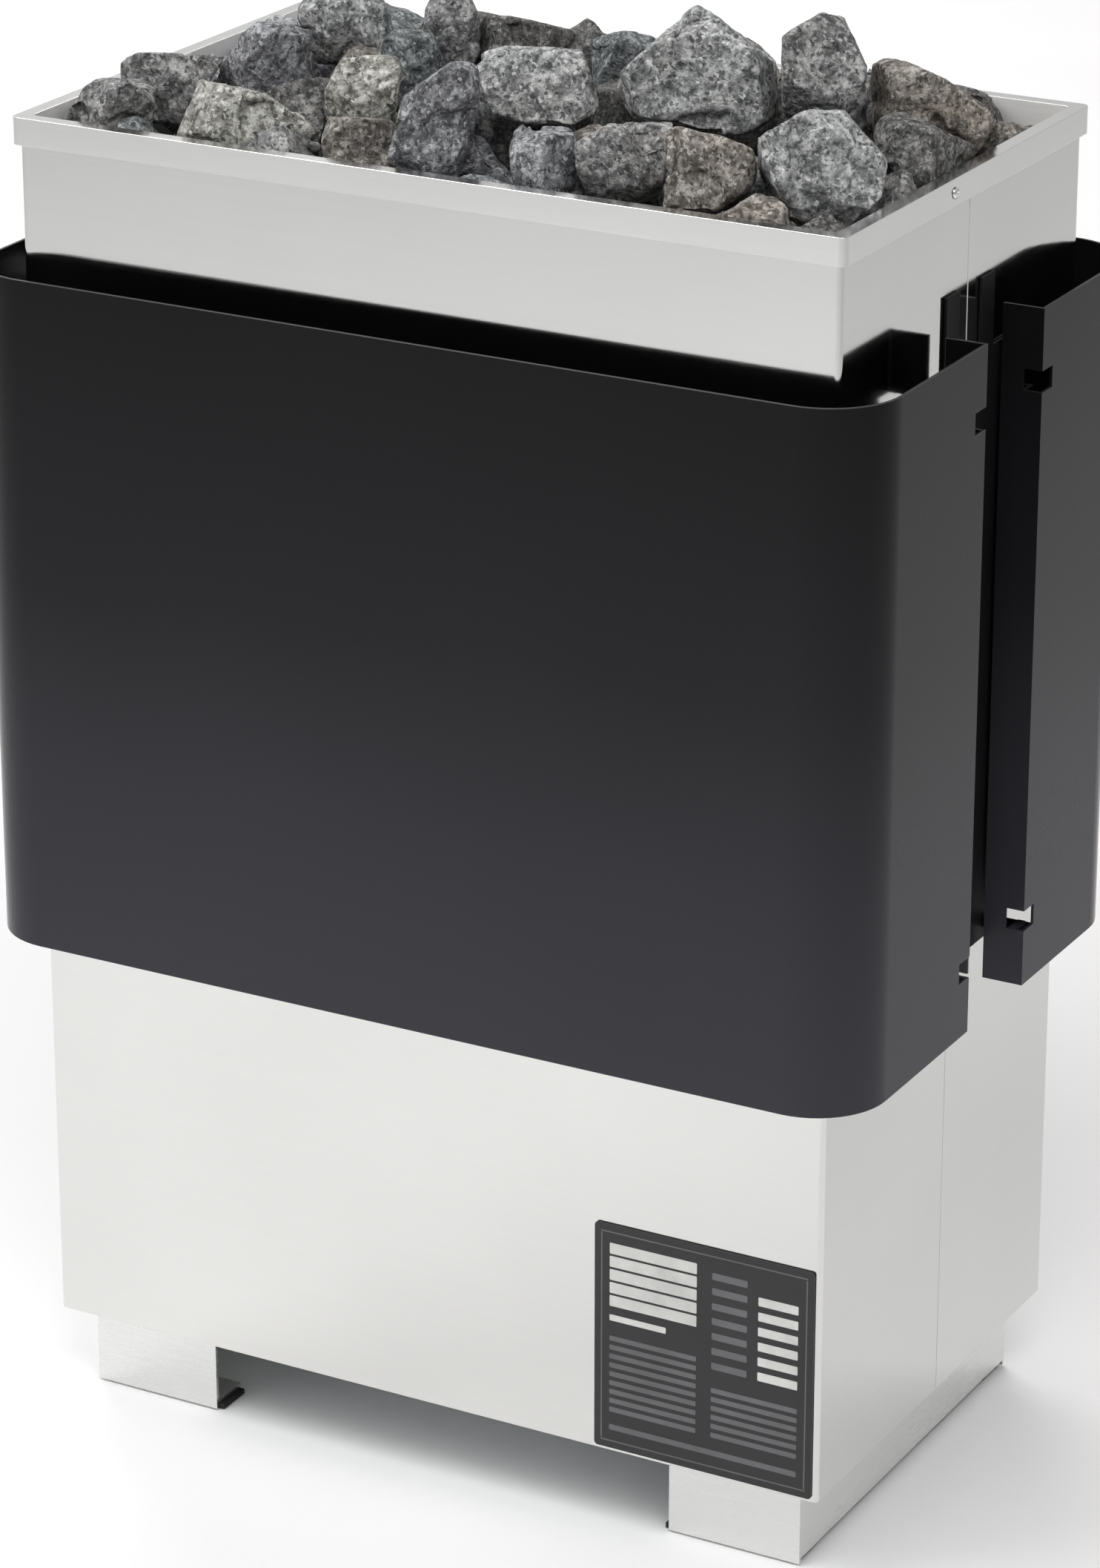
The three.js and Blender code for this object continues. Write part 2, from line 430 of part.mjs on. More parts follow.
// name, centre x, y, z, half sizes along U, D, Z, flat faces [u, d, z, distance]
const TOP_STONES = [
  ['stone_01', -195, -93, 694, 29, 24, 18, [
    [-0.81, 0.08, 0.59, 17.8], [-0.5, 0.17, 0.85, 16], [0.01, 0.25, 0.97, 14.1], [0.37, 0.25, 0.89, 16.5],
    [0.99, 0.04, -0.13, 19.8]]],
  ['stone_02', -122, -90, 696, 45, 25, 23, [
    [-0.91, 0.04, 0.42, 30.6], [-0.24, 0.22, 0.95, 23.9], [0.21, 0.25, 0.94, 14.9], [0.46, 0.24, 0.86, 15.7],
    [0.63, 0.22, 0.75, 19.3], [1, 0.02, -0.1, 38.9]]],
  ['stone_03', -55, -92, 694, 24, 22, 16, [
    [-0.93, 0.06, 0.37, 19.1], [0.08, 0.25, 0.96, 11.7], [0.53, 0.23, 0.82, 16.4],
    [0.99, -0.01, -0.16, 18.5], [-0.99, -0.07, -0.11, 19.1]]],
  ['stone_04', -15, -87, 708, 28, 22, 34, [
    [-0.97, 0.04, 0.24, 19.3], [-0.58, 0.19, 0.79, 19.2], [-0.01, 0.24, 0.97, 28.3],
    [0.99, 0.04, 0.09, 22.4], [0.98, -0.04, -0.19, 18.4], [0.95, -0.07, -0.31, 18.8]]],
  ['stone_05', 43, -85, 695, 23, 27, 22, [
    [-1, 0.02, 0.1, 17.8], [-0.56, 0.21, 0.8, 21.4], [0.1, 0.25, 0.96, 16.9], [0.96, 0.06, 0.26, 17],
    [0.99, 0.03, 0.13, 17.1], [-0.98, -0.06, -0.19, 17.7]]],
  ['stone_06', 86, -85, 702, 29, 24, 23, [
    [-0.46, 0.23, 0.86, 18.2], [-0.04, 0.25, 0.97, 16.9], [1, -0.02, 0.01, 22.9], [0.96, -0.09, -0.27, 21.2],
    [-0.92, -0.1, -0.37, 23.9], [-1, -0.01, -0.04, 24.2]]],
  ['stone_07', 135, -97, 707, 28, 22, 23, [
    [-0.45, 0.24, 0.86, 23.5], [0.22, 0.24, 0.94, 16], [0.38, 0.22, 0.9, 16.2], [0.97, 0.03, 0.24, 23.5],
    [0.86, -0.16, -0.48, 24.2], [-1, 0.02, -0.01, 20.3]]],
  ['stone_08', 180, -69, 711, 38, 28, 28, [
    [-1, 0.05, 0.02, 29.4], [-0.52, 0.24, 0.82, 22.9], [0.01, 0.25, 0.97, 22.1], [0.75, 0.12, 0.65, 22.9],
    [0.98, -0.11, -0.16, 32.1], [-0.95, -0.05, -0.31, 29]]],
  ['stone_09', -197, -42, 696, 34, 25, 21, [
    [-0.6, 0.15, 0.79, 21], [0.01, 0.24, 0.97, 13.7], [0.83, -0.09, -0.56, 19], [-0.95, -0.15, -0.29, 23.4],
    [-1, -0.07, 0.03, 23.4]]],
  ['stone_10', -164, -2, 697, 35, 26, 28, [
    [-0.8, 0.1, 0.59, 19.8], [-0.64, 0.15, 0.75, 20.9], [0.01, 0.23, 0.97, 23.8], [0.41, 0.23, 0.88, 27.6],
    [1, 0.05, 0.03, 24.1], [-0.89, -0.17, -0.42, 32.8]]],
  ['stone_11', -81, -46, 706, 24, 22, 23, [
    [-0.9, 0.07, 0.42, 16.7], [-0.32, 0.22, 0.92, 17.5], [0.04, 0.24, 0.97, 17.2], [0.92, 0.12, 0.36, 21.9],
    [0.98, -0.02, -0.19, 18.6], [-1, -0.05, -0.04, 19.2]]],
  ['stone_12', -80, -1, 709, 19, 22, 24, [
    [-0.74, 0.14, 0.65, 18.1], [0.01, 0.24, 0.97, 17.7], [0.88, 0.13, 0.46, 17.3],
    [0.98, -0.02, -0.17, 14.7], [-1, -0.05, -0.06, 14.4]]],
  ['stone_13', 2, -20, 712, 38, 27, 25, [
    [-1, 0, 0.06, 30.7], [-0.83, 0.12, 0.54, 30.7], [-0.3, 0.23, 0.93, 23.7], [0.05, 0.24, 0.97, 19.5],
    [0.88, 0.11, 0.47, 28.4], [1, -0.01, -0.02, 31.1], [0.43, -0.23, -0.87, 25.6],
    [-0.04, -0.25, -0.97, 18.6], [-0.95, -0.09, -0.31, 30]]],
  ['stone_14', 84, -4, 722, 49, 30, 41, [
    [-0.98, 0.06, 0.18, 40.7], [-0.67, 0.19, 0.72, 29.1], [-0.47, 0.22, 0.86, 32.7],
    [0.54, 0.18, 0.82, 29.4], [0.58, 0.17, 0.79, 28.9], [1, -0.03, 0.03, 36.7], [0.51, -0.24, -0.82, 34.8],
    [-0.01, -0.25, -0.97, 27.4], [-0.29, -0.24, -0.93, 26.6], [-0.91, -0.09, -0.4, 42.3]]],
  ['stone_15', 142, 11, 726, 26, 24, 38, [
    [-1, 0.05, 0.03, 20.8], [-0.52, 0.22, 0.82, 27.9], [0.2, 0.22, 0.96, 30.9], [0.9, 0.05, 0.43, 21.8],
    [1, -0.04, 0.07, 21.2], [0.92, -0.15, -0.35, 23.7], [-0.98, -0, -0.18, 22], [-1, 0.03, -0.04, 20.2]]],
  ['stone_16', 181, 44, 708, 41, 29, 31, [
    [-0.87, 0.17, 0.46, 33.4], [0.1, 0.23, 0.97, 22.7], [0.41, 0.19, 0.89, 17.7], [0.56, 0.16, 0.81, 18],
    [0.65, 0.14, 0.75, 20], [0.78, -0.22, -0.58, 32.9], [-1, 0.04, -0.07, 29]]],
  ['stone_17', 199, -2, 701, 32, 24, 23, [
    [-0.79, 0.2, 0.58, 23.7], [-0.22, 0.26, 0.94, 19.9], [0.42, 0.2, 0.89, 13.8], [-0.99, 0.03, -0.11, 20.8]]],
  ['stone_18', -142, 41, 717, 30, 25, 23, [
    [-0.98, 0.01, 0.21, 24.8], [-0.79, 0.11, 0.61, 22.7], [0.01, 0.23, 0.97, 16.6], [0.86, 0.14, 0.5, 21.7],
    [1, 0.04, 0.03, 24], [-0.92, -0.13, -0.37, 23.2]]],
  ['stone_19', -80, 41, 719, 18, 22, 25, [
    [-1, -0, 0.08, 14.8], [-0.84, 0.11, 0.53, 17], [0.01, 0.23, 0.97, 20.1], [0.87, 0.13, 0.48, 15.5],
    [1, 0.01, -0.02, 14.4], [-1, -0.04, -0.08, 15.1]]],
  ['stone_20', -47, 61, 709, 33, 24, 18, [
    [-0.64, 0.17, 0.75, 26], [0.01, 0.23, 0.97, 15.3], [0.23, 0.23, 0.95, 13.1], [0.88, 0.11, 0.47, 25.1],
    [0.99, -0.04, -0.12, 28.5], [-0.99, -0.04, -0.1, 24.8]]],
  ['stone_21', 9, 58, 701, 23, 24, 31, [
    [-0.27, 0.23, 0.94, 22], [0.01, 0.24, 0.97, 22.2], [0.8, 0.13, 0.59, 23.7], [0.98, -0.07, -0.21, 16.1],
    [-1, -0.01, -0.08, 16]]],
];
// lower stones, packed on the grate and drawn together into one bed:
// centre x, y, top, half sizes along U, D
const BED_ROOT = 640;
const BED_STONES = [
  [-160, -108, 698, 20, 17], [-90, -104, 705, 18, 20], [32, -112, 698, 21, 13], [168, -112, 701, 23, 15],
  [160, -22, 728, 15, 20], [-195, 12, 698, 22, 26], [-130, -48, 702, 28, 26], [-40, -44, 706, 24, 26],
  [48, -40, 706, 26, 24], [100, -48, 702, 26, 24], [140, -50, 700, 24, 24], [-112, 10, 710, 24, 24],
  [-34, 10, 716, 24, 24], [38, 20, 718, 24, 26], [108, 34, 718, 26, 26], [140, 66, 714, 26, 26],
  [-190, 62, 702, 26, 30], [-146, 90, 710, 28, 26], [-95, 88, 716, 27, 28], [-42, 104, 706, 28, 22],
  [14, 102, 710, 27, 24], [62, 68, 724, 28, 28], [72, 110, 700, 24, 18], [112, 104, 708, 25, 22],
  [160, 106, 704, 26, 20], [196, 84, 700, 20, 26], [-196, 108, 692, 20, 18], [202, -44, 698, 14, 20],
  [200, -104, 694, 16, 20], [-112, 116, 692, 20, 12],
];

const dot = (a, b) => a[0] * b[0] + a[1] * b[1] + a[2] * b[2];
const stones = [...TOP_STONES.map(([name, x, y, z, u, d, h, flats]) => ({ name, c: [x, y, z], r: [u, d, h], flats })),
  ...BED_STONES.map(([x, y, top, u, d]) => ({ name: null, c: [x, y, (top + BED_ROOT) / 2], r: [1.25 * u, 1.25 * d, (top - BED_ROOT) / 2], flats: [] }))];

stones.forEach((s, i) => {
  const random = rng(1000 + 77 * i);
  const turn = (random() - 0.5) * 0.9, tilt = (random() - 0.5) * (s.name ? 0.35 : 0.6);
  const ct = Math.cos(turn), st = Math.sin(turn), cl = Math.cos(tilt), sl = Math.sin(tilt);
  const u0 = U.map((v, k) => v * ct + D[k] * st), d0 = D.map((v, k) => v * ct - U[k] * st);
  s.axes = [u0.map((v, k) => v * cl + (k === 2 ? sl : 0)), d0, u0.map((v, k) => -v * sl + (k === 2 ? cl : 0))];
  s.reach = (n) => s.axes.reduce((q, a, k) => q + Math.abs(dot(a, n) * s.r[k]) ** BLOCK_DUAL, 0) ** (1 / BLOCK_DUAL);
  s.planes = [];
  for (let k = 0; k < BREAKS; k++) {
    const z = 2 * (k + 0.5 + 0.8 * (random() - 0.5)) / BREAKS - 1, a = 2.39996 * k + 1.5 * random() + i, w = Math.sqrt(Math.max(0, 1 - z * z));
    const n = [w * Math.cos(a), w * Math.sin(a), z];
    s.planes.push([n, s.reach(n) * (s.name ? 0.78 + 0.20 * random() : 0.74 + 0.20 * random())]);
  }
  for (const [u, d, z, dist] of s.flats) {
    const n = [0, 1, 2].map((k) => u * U[k] + d * D[k] + (k === 2 ? z : 0)), l = Math.hypot(...n);
    s.planes.push([n.map((v) => v / l), dist]);
  }
  // the walls of the stone space, and for the top stones the bed below
  const wx = CASE_W / 2 - RIM_IN - 2, wy = CASE_D / 2 - RIM_IN - 2.5;
  s.planes.push([[1, 0, 0], wx - s.c[0]], [[-1, 0, 0], wx + s.c[0]], [[0, 1, 0], wy - s.c[1]], [[0, -1, 0], wy + s.c[1]]);
  s.planes.push([[0, 0, -1], s.name ? s.c[2] - BED_Z1 - 0.6 : s.c[2] - BED_Z0 - 25]);
});

for (let i = 0; i < stones.length; i++) {
  for (let j = i + 1; j < stones.length; j++) {
    const a = stones[i], b = stones[j];
    const v = b.c.map((q, k) => q - a.c[k]), into = dot(v, D);
    const w = v.map((q, k) => q + 0.7 * into * D[k]), l = Math.hypot(...w), n = w.map((q) => q / l), dist = dot(v, n);
    const ha = a.reach(n), hb = b.reach(n);
    if (1.7 * (ha + hb) < dist) continue;
    let t = dist * ha / (ha + hb);
    if (a.name && !b.name) t = Math.min(0.95 * ha, dist - 0.15 * hb);
    a.planes.push([n, t - 0.4]);
    b.planes.push([n.map((q) => -q), dist - t - 0.4]);
  }
}

// corners of the body that all the flat faces leave, and the faces between them
function stoneSolid(s) {
  const P = s.planes, tol = 1e-6, corners = [], faces = P.map(() => []);
  for (let i = 0; i < P.length; i++) for (let j = i + 1; j < P.length; j++) for (let k = j + 1; k < P.length; k++) {
    const [a, b, c] = [P[i][0], P[j][0], P[k][0]].map((n) => new THREE.Vector3(...n));
    const bc = b.clone().cross(c), det = a.dot(bc);
    if (Math.abs(det) < 1e-5) continue;
    const x = bc.multiplyScalar(P[i][1]).addScaledVector(c.clone().cross(a), P[j][1]).addScaledVector(a.clone().cross(b), P[k][1]).divideScalar(det);
    if (P.some(([n, h]) => n[0] * x.x + n[1] * x.y + n[2] * x.z > h + tol)) continue;
    let m = corners.findIndex((q) => q.distanceTo(x) < 0.9);
    if (m < 0) m = corners.push(x) - 1;
    for (const f of [i, j, k]) if (!faces[f].includes(m)) faces[f].push(m);
  }
  const at = new THREE.Vector3(...s.c), pos = [];
  faces.forEach((ids, f) => {
    if (ids.length < 3) return;
    const n = new THREE.Vector3(...P[f][0]), mid = ids.reduce((q, m) => q.add(corners[m]), new THREE.Vector3()).divideScalar(ids.length);
    const e = corners[ids[0]].clone().sub(mid), g = n.clone().cross(e);
    const turn = (m) => { const v = corners[m].clone().sub(mid); return Math.atan2(v.dot(g) / g.length(), v.dot(e) / e.length()); };
    ids.sort((p, q) => turn(p) - turn(q));
    for (let k = 1; k + 1 < ids.length; k++) for (const m of [ids[0], ids[k], ids[k + 1]]) pos.push(...corners[m].clone().add(at).toArray());
  });
  const geometry = new THREE.BufferGeometry();
  geometry.setAttribute('position', new THREE.Float32BufferAttribute(pos, 3));
  return solid(geometry);
}

for (const s of stones.filter((q) => q.name)) part(s.name, stoneSolid(s), 'stone');

let bed = box(-BED_X, BED_X, -BED_Y, BED_Y, BED_Z0, BED_Z1);
for (const s of stones.filter((q) => !q.name)) bed = join(bed, stoneSolid(s));
part('stone_bed', bed, 'stone');

export default heater;
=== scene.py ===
import math

import bmesh
import bpy
import numpy as np
from mathutils import Matrix, Vector, noise


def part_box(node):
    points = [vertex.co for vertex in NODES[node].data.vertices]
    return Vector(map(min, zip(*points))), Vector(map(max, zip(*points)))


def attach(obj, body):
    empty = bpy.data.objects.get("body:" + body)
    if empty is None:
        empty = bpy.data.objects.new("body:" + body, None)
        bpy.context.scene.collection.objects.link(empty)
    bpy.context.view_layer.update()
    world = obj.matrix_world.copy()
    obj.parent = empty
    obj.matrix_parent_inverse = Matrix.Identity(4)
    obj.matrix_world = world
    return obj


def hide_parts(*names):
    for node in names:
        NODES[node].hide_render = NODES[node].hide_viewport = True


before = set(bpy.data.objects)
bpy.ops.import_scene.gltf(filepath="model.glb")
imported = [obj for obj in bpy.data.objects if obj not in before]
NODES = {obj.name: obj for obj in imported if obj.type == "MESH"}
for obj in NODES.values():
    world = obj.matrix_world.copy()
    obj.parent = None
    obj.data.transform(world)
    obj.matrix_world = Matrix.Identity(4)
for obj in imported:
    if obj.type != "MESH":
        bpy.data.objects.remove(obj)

SCENE = bpy.context.scene
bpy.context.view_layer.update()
MM = 0.001


# ------------------------------------------------------------------ node helpers
def add(nt, kind, inputs=None, **attrs):
    n = nt.nodes.new(kind)
    for k, v in attrs.items():
        setattr(n, k, v)
    for k, v in (inputs or {}).items():
        if isinstance(v, bpy.types.NodeSocket):
            nt.links.new(v, n.inputs[k])
        else:
            n.inputs[k].default_value = v
    return n


def material(name):
    m = bpy.data.materials.new(name)
    m.use_nodes = True
    nt = m.node_tree
    nt.nodes.clear()
    out = nt.nodes.new("ShaderNodeOutputMaterial")
    bsdf = nt.nodes.new("ShaderNodeBsdfPrincipled")
    nt.links.new(bsdf.outputs[0], out.inputs[0])
    return m, nt, bsdf


def coords(nt, scale=(1, 1, 1), rotation=(0, 0, 0), location=(0, 0, 0)):
    tc = nt.nodes.new("ShaderNodeTexCoord")
    mp = add(nt, "ShaderNodeMapping", {"Vector": tc.outputs["Object"], "Scale": scale, "Rotation": rotation, "Location": location})
    return mp.outputs[0]


def noise_tex(nt, vec, scale, detail=4.0, rough=0.55, distortion=0.0):
    return add(nt, "ShaderNodeTexNoise", {"Vector": vec, "Scale": scale, "Detail": detail, "Roughness": rough, "Distortion": distortion})


def remap(nt, value, a, b, c, d):
    return add(nt, "ShaderNodeMapRange", {"Value": value, "From Min": a, "From Max": b, "To Min": c, "To Max": d}).outputs[0]


def ramp(nt, fac, stops, interpolation="LINEAR"):
    n = nt.nodes.new("ShaderNodeValToRGB")
    n.color_ramp.interpolation = interpolation
    e = n.color_ramp.elements
    while len(e) < len(stops):
        e.new(0.5)
    for el, (p, c) in zip(e, stops):
        el.position = p
        el.color = (*c, 1.0) if len(c) == 3 else c
    nt.links.new(fac, n.inputs[0])
    return n.outputs[0]


def mix(nt, fac, a, b, blend="MIX"):
    n = nt.nodes.new("ShaderNodeMix")
    n.data_type = "RGBA"
    n.blend_type = blend
    for idx, v in ((0, fac), (6, a), (7, b)):
        if isinstance(v, bpy.types.NodeSocket):
            nt.links.new(v, n.inputs[idx])
        elif idx == 0:
            n.inputs[idx].default_value = v
        else:
            n.inputs[idx].default_value = (*v, 1.0)
    return n.outputs[2]


def math_node(nt, op, a, b=0.0):
    n = nt.nodes.new("ShaderNodeMath")
    n.operation = op
    for i, v in enumerate((a, b)):
        if isinstance(v, bpy.types.NodeSocket):
            nt.links.new(v, n.inputs[i])
        else:
            n.inputs[i].default_value = v
    return n.outputs[0]


def bump(nt, height, strength, distance, normal=None):
    inp = {"Height": height, "Strength": strength, "Distance": distance}
    if normal is not None:
        inp["Normal"] = normal
    return add(nt, "ShaderNodeBump", inp).outputs[0]


# --------------------------------------------------------------------- materials
def steel(name, colour, rough_lo, rough_hi, grain=(4, 4, 900), grain_strength=0.04, wave=0.05, tint=0.03, metallic=1.0):
    """Rolled and polished or brushed sheet: long grain, slow waviness, faint clouding."""
    m, nt, b = material(name)
    v = coords(nt)
    cloud = noise_tex(nt, v, 5.0, 3.0, 0.5).outputs["Fac"]
    fine = noise_tex(nt, coords(nt, scale=grain), 1.0, 4.0, 0.6).outputs["Fac"]
    spots = noise_tex(nt, v, 140.0, 3.0, 0.6).outputs["Fac"]
    lo = tuple(c * (1 - tint) for c in colour)
    hi = tuple(min(1.0, c * (1 + tint)) for c in colour)
    base = ramp(nt, cloud, [(0.3, lo), (0.7, hi)])
    base = mix(nt, remap(nt, fine, 0.35, 0.75, 0.0, 0.10), base, tuple(c * 0.8 for c in colour))
    nt.links.new(base, b.inputs["Base Color"])
    r = math_node(nt, "ADD", remap(nt, cloud, 0.3, 0.7, rough_lo, 0.5 * (rough_lo + rough_hi)), remap(nt, fine, 0.3, 0.7, 0.0, 0.5 * (rough_hi - rough_lo)))
    r = math_node(nt, "ADD", r, remap(nt, spots, 0.55, 0.75, 0.0, 0.02))
    nt.links.new(r, b.inputs["Roughness"])
    b.inputs["Metallic"].default_value = metallic
    slow = noise_tex(nt, v, 7.0, 1.0, 0.4).outputs["Fac"]
    n1 = bump(nt, slow, wave, 0.004)
    n2 = bump(nt, fine, grain_strength, 0.0004, n1)
    nt.links.new(n2, b.inputs["Normal"])
    return m


def enamel(name, top, low, z0, z1, rough=(0.13, 0.20)):
    """Stoved enamel: painted reflection, the base colour pales slowly from the top tone towards the lower edge;
    orange-peel skin, dust-fine flecks.
    """
    m, nt, b = material(name)
    tc = nt.nodes.new("ShaderNodeTexCoord")
    sep = add(nt, "ShaderNodeSeparateXYZ", {"Vector": tc.outputs["Object"]})
    # painted reflection: the base colour runs from the lower tone to the top tone along the height
    t = remap(nt, sep.outputs["Z"], z0, z1, 0.0, 1.0)
    v = coords(nt)
    cloud = noise_tex(nt, v, 4.0, 3.0, 0.5).outputs["Fac"]
    t2 = math_node(nt, "ADD", t, remap(nt, cloud, 0.3, 0.7, -0.05, 0.05))
    base = ramp(nt, t2, [(0.0, low), (0.28, tuple(0.70 * a + 0.30 * c for a, c in zip(low, top))), (0.58, tuple(0.22 * a + 0.78 * c for a, c in zip(low, top))), (1.0, top)])
    fleck = noise_tex(nt, v, 2600.0, 2.0, 0.5).outputs["Fac"]
    base = mix(nt, remap(nt, fleck, 0.66, 0.80, 0.0, 0.25), base, (0.10, 0.10, 0.11))
    nt.links.new(base, b.inputs["Base Color"])
    r = remap(nt, cloud, 0.3, 0.7, rough[0], rough[1])
    r = math_node(nt, "ADD", r, remap(nt, noise_tex(nt, v, 60.0, 4.0, 0.6).outputs["Fac"], 0.4, 0.75, 0.0, 0.05))
    nt.links.new(r, b.inputs["Roughness"])
    b.inputs["Specular IOR Level"].default_value = 0.13
    peel = noise_tex(nt, v, 420.0, 2.0, 0.5).outputs["Fac"]
    slow = noise_tex(nt, v, 5.0, 1.0, 0.4).outputs["Fac"]
    n1 = bump(nt, slow, 0.05, 0.004)
    nt.links.new(bump(nt, peel, 0.05, 0.0006, n1), b.inputs["Normal"])
    return m


def stone(name, dark, mid, light, warm, scale=1.0, seed=0.0):
    """Broken crystalline rock: fine grains of several tones, dark mica flecks, slow staining."""
    m, nt, b = material(name)
    v = coords(nt, location=(seed, seed * 0.7, -seed))
    wob = noise_tex(nt, v, 160.0 * scale, 4.0, 0.7)
    vv = add(nt, "ShaderNodeVectorMath", {0: v, 1: add(nt, "ShaderNodeVectorMath", {0: wob.outputs["Color"], "Scale": 0.006}, operation="SCALE").outputs[0]}, operation="ADD").outputs[0]
    grain = add(nt, "ShaderNodeTexVoronoi", {"Vector": vv, "Scale": 470.0 * scale, "Randomness": 1.0}, feature="F1")
    gsep = add(nt, "ShaderNodeSeparateColor", {"Color": grain.outputs["Color"]})
    fine = add(nt, "ShaderNodeTexVoronoi", {"Vector": vv, "Scale": 1150.0 * scale, "Randomness": 1.0}, feature="F1")
    fsep = add(nt, "ShaderNodeSeparateColor", {"Color": fine.outputs["Color"]})
    big = noise_tex(nt, v, 20.0, 5.0, 0.6, 0.6).outputs["Fac"]
    patch = noise_tex(nt, v, 55.0 * scale, 6.0, 0.7, 0.3).outputs["Fac"]
    blot = noise_tex(nt, v, 150.0 * scale, 3.0, 0.6, 0.5).outputs["Fac"]
    med = noise_tex(nt, v, 230.0 * scale, 6.0, 0.75).outputs["Fac"]
    t = math_node(nt, "ADD", math_node(nt, "MULTIPLY", gsep.outputs[0], 0.34), math_node(nt, "MULTIPLY", fsep.outputs[1], 0.26))
    t = math_node(nt, "ADD", t, remap(nt, med, 0.30, 0.70, 0.0, 0.34))
    t = math_node(nt, "ADD", t, remap(nt, patch, 0.30, 0.70, -0.12, 0.16))
    t = math_node(nt, "ADD", t, remap(nt, blot, 0.34, 0.66, -0.26, 0.27))
    base = ramp(nt, t, [(0.12, dark), (0.36, tuple(0.5 * (p + q) for p, q in zip(dark, mid))), (0.54, mid), (0.72, tuple(0.5 * (p + q) for p, q in zip(mid, light))), (0.92, light)])
    base = mix(nt, remap(nt, big, 0.46, 0.66, 0.0, 0.75), base, warm, "MULTIPLY")
    fleck = add(nt, "ShaderNodeTexVoronoi", {"Vector": vv, "Scale": 640.0 * scale, "Randomness": 1.0}, feature="F1")
    k = add(nt, "ShaderNodeSeparateColor", {"Color": fleck.outputs["Color"]})
    base = mix(nt, remap(nt, k.outputs[2], 0.80, 0.90, 0.0, 0.75), base, tuple(0.45 * q for q in dark))
    base = mix(nt, remap(nt, k.outputs[0], 0.88, 0.96, 0.0, 0.55), base, tuple(min(0.8, 1.25 * q) for q in light))
    nt.links.new(base, b.inputs["Base Color"])
    nt.links.new(remap(nt, fsep.outputs[0], 0.0, 1.0, 0.66, 0.96), b.inputs["Roughness"])
    b.inputs["Specular IOR Level"].default_value = 0.35
    n0 = bump(nt, patch, 0.45, 0.005)
    n1 = bump(nt, med, 0.55, 0.0020, n0)
    n2 = bump(nt, gsep.outputs[1], 0.30, 0.0006, n1)
    n3 = bump(nt, fine.outputs["Distance"], 0.40, 0.0006, n2)
    nt.links.new(n3, b.inputs["Normal"])
    return m


def moulded(name, colour, rough=0.55, bump_scale=700.0, strength=0.12, spec=0.4):
    """Moulded rubber, plastic or ceramic: fine skin, slight tone drift."""
    m, nt, b = material(name)
    v = coords(nt)
    drift = noise_tex(nt, v, 40.0, 4.0, 0.6).outputs["Fac"]
    skin = noise_tex(nt, v, bump_scale, 3.0, 0.6).outputs["Fac"]
    base = ramp(nt, drift, [(0.3, tuple(c * 0.86 for c in colour)), (0.7, tuple(min(1, c * 1.12) for c in colour))])
    base = mix(nt, remap(nt, skin, 0.58, 0.75, 0.0, 0.3), base, tuple(min(1, c * 1.5 + 0.01) for c in colour))
    nt.links.new(base, b.inputs["Base Color"])
    nt.links.new(remap(nt, skin, 0.3, 0.7, rough - 0.08, rough + 0.08), b.inputs["Roughness"])
    b.inputs["Specular IOR Level"].default_value = spec
    nt.links.new(bump(nt, skin, strength, 0.0005), b.inputs["Normal"])
    return m


M_POLISHED = steel("polished_steel", (0.715, 0.711, 0.696), 0.05, 0.12, grain=(6, 6, 700), grain_strength=0.02, wave=0.05)
M_RIM = steel("rim_steel", (0.79, 0.79, 0.78), 0.10, 0.18, grain=(8, 8, 500), grain_strength=0.03, wave=0.03)
M_INNER = steel("casing_inside", (0.86, 0.855, 0.84), 0.46, 0.60, grain=(14, 14, 420), grain_strength=0.12, wave=0.03, tint=0.06, metallic=0.55)
M_FOOT = steel("foot_steel", (0.75, 0.75, 0.74), 0.22, 0.34, grain=(10, 10, 900), grain_strength=0.10, wave=0.03)
M_ZINC = steel("zinc_steel", (0.60, 0.62, 0.63), 0.34, 0.50, grain=(60, 60, 90), grain_strength=0.10, wave=0.05, tint=0.16)
M_HEAT = steel("heat_steel", (0.20, 0.18, 0.17), 0.42, 0.62, grain=(90, 90, 140), grain_strength=0.18, wave=0.05, tint=0.25)
M_BRASS = steel("brass", (0.72, 0.56, 0.27), 0.24, 0.40, grain=(40, 400, 400), grain_strength=0.10, wave=0.04, tint=0.10)
# panel enamel: the lighter lower tone is painted reflection, not the enamel's own colour
M_PANEL = enamel("panel_enamel", (0.0056, 0.0056, 0.0062), (0.038, 0.0362, 0.0440), 0.265, 0.620)
# bevel faces of the panels in a much lighter enamel: a painted edge highlight
M_PANEL_EDGE_HIGHLIGHT = enamel("panel_enamel_painted_edge_highlight", (0.060, 0.060, 0.066), (0.11, 0.108, 0.118), 0.265, 0.620, rough=(0.2, 0.3))
# rail enamel: its slightly lighter lower tone is the same painted reflection
M_RAIL = enamel("rail_enamel", (0.0060, 0.0060, 0.0066), (0.0085, 0.0085, 0.0090), 0.28, 0.64, rough=(0.36, 0.48))
M_RUBBER = moulded("pad_rubber", (0.020, 0.020, 0.021), 0.80, 900.0, 0.25, 0.25)
M_GLAND = moulded("gland_plastic", (0.028, 0.029, 0.031), 0.48, 1100.0, 0.15)
M_SEAL = moulded("gland_seal", (0.012, 0.012, 0.012), 0.85, 900.0, 0.3, 0.2)
M_CERAMIC = moulded("terminal_ceramic", (0.72, 0.68, 0.58), 0.38, 500.0, 0.08)
M_SLEEVE = moulded("lead_sleeve", (0.44, 0.41, 0.35), 0.78, 1500.0, 0.5, 0.2)
M_PLATE = moulded("plate_black", (0.014, 0.014, 0.016), 0.36, 1400.0, 0.05, 0.5)
M_PLATE_FIELD = moulded("plate_field", (0.62, 0.62, 0.60), 0.42, 1400.0, 0.05, 0.4)
M_PLATE_GREY = moulded("plate_grey", (0.12, 0.12, 0.125), 0.42, 1400.0, 0.05, 0.4)

